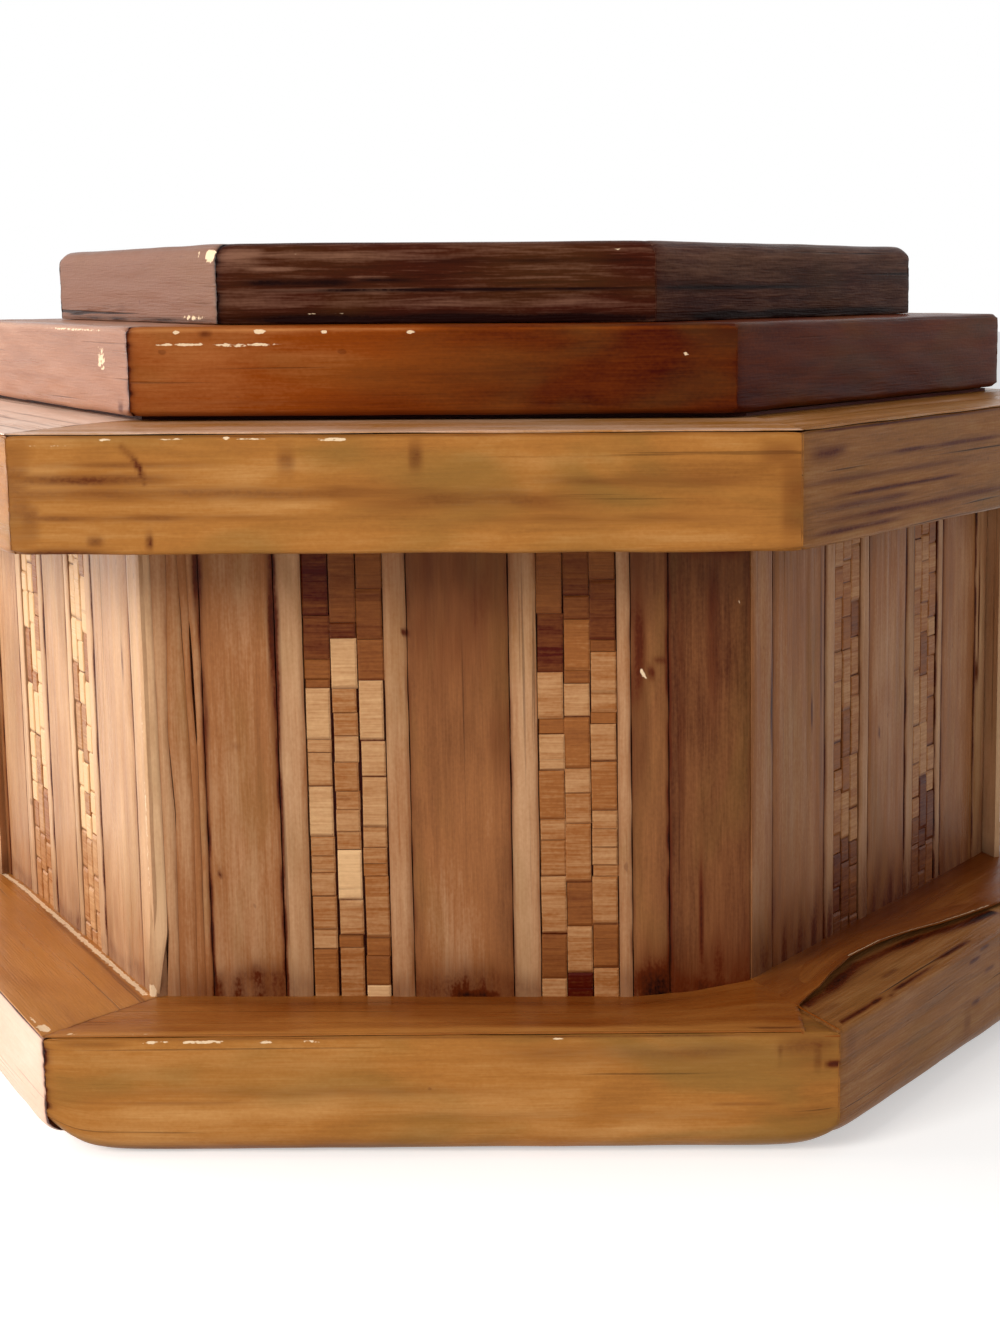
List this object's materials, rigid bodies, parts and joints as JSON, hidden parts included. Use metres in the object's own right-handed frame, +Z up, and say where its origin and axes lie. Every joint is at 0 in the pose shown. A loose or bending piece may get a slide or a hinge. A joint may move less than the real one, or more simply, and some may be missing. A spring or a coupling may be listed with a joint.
{
  "type": "lidded box",
  "caption": "Hexagonal wooden keepsake box clad in split bamboo strips and small bricks, with mitred rim and base mouldings and a stepped lift-off lid.",
  "frame": {"origin": "bottom centre of the base moulding, on the table", "axes": "+Z up, the front wall faces -Y, two corners of the hexagon lie on the X axis"},
  "size_m": [0.2412, 0.2088, 0.1376],
  "materials": {
    "honey_bamboo": "golden lacquer",
    "amber_veneer": "amber lacquer",
    "amber_bamboo": "amber to red-brown lacquer",
    "dark_bamboo": "dark brown lacquer",
    "wall_bamboo": "satin lacquer",
    "brick_bamboo": "satin lacquer",
    "plywood": "bare"
  },
  "bodies": {
    "box": {"base_board": "plywood", "base_top_veneers": "amber_veneer", "rim_top_veneers": "amber_veneer", "base_rail_front": "honey_bamboo", "base_rail_front_right": "honey_bamboo", "base_rail_back_right": "honey_bamboo", "base_rail_back": "honey_bamboo", "base_rail_back_left": "honey_bamboo", "base_rail_front_left": "honey_bamboo", "wall_core_front": "plywood", "wall_core_front_right": "plywood", "wall_core_back_right": "plywood", "wall_core_back": "plywood", "wall_core_back_left": "plywood", "wall_core_front_left": "plywood", "rim_rail_front": "honey_bamboo", "rim_rail_front_right": "honey_bamboo", "rim_rail_back_right": "honey_bamboo", "rim_rail_back": "honey_bamboo", "rim_rail_back_left": "honey_bamboo", "rim_rail_front_left": "honey_bamboo", "wall_slats_front": "wall_bamboo", "wall_slats_front_right": "wall_bamboo", "wall_slats_back_right": "wall_bamboo", "wall_slats_back": "wall_bamboo", "wall_slats_back_left": "wall_bamboo", "wall_slats_front_left": "wall_bamboo", "wall_tiles_front": "brick_bamboo", "wall_tiles_front_right": "brick_bamboo", "wall_tiles_back_right": "brick_bamboo", "wall_tiles_back": "brick_bamboo", "wall_tiles_back_left": "brick_bamboo", "wall_tiles_front_left": "brick_bamboo"},
    "lid": {"lid_board": "plywood", "lid_top_panel": "plywood", "lid_top_slats": "wall_bamboo", "lid_lower_rail_front": "amber_bamboo", "lid_lower_rail_front_right": "amber_bamboo", "lid_lower_rail_back_right": "amber_bamboo", "lid_lower_rail_back": "amber_bamboo", "lid_lower_rail_back_left": "amber_bamboo", "lid_lower_rail_front_left": "amber_bamboo", "lid_upper_rail_front": "dark_bamboo", "lid_upper_rail_front_right": "dark_bamboo", "lid_upper_rail_back_right": "dark_bamboo", "lid_upper_rail_back": "dark_bamboo", "lid_upper_rail_back_left": "dark_bamboo", "lid_upper_rail_front_left": "dark_bamboo", "lid_lip_front": "plywood", "lid_lip_front_right": "plywood", "lid_lip_back_right": "plywood", "lid_lip_back": "plywood", "lid_lip_back_left": "plywood", "lid_lip_front_left": "plywood"}
  },
  "joints": [
    {"name": "lid_lift", "type": "slide", "parent": "box", "child": "lid", "axis": [0, 0, 1], "range_m": [0, 0.15]}
  ]
}
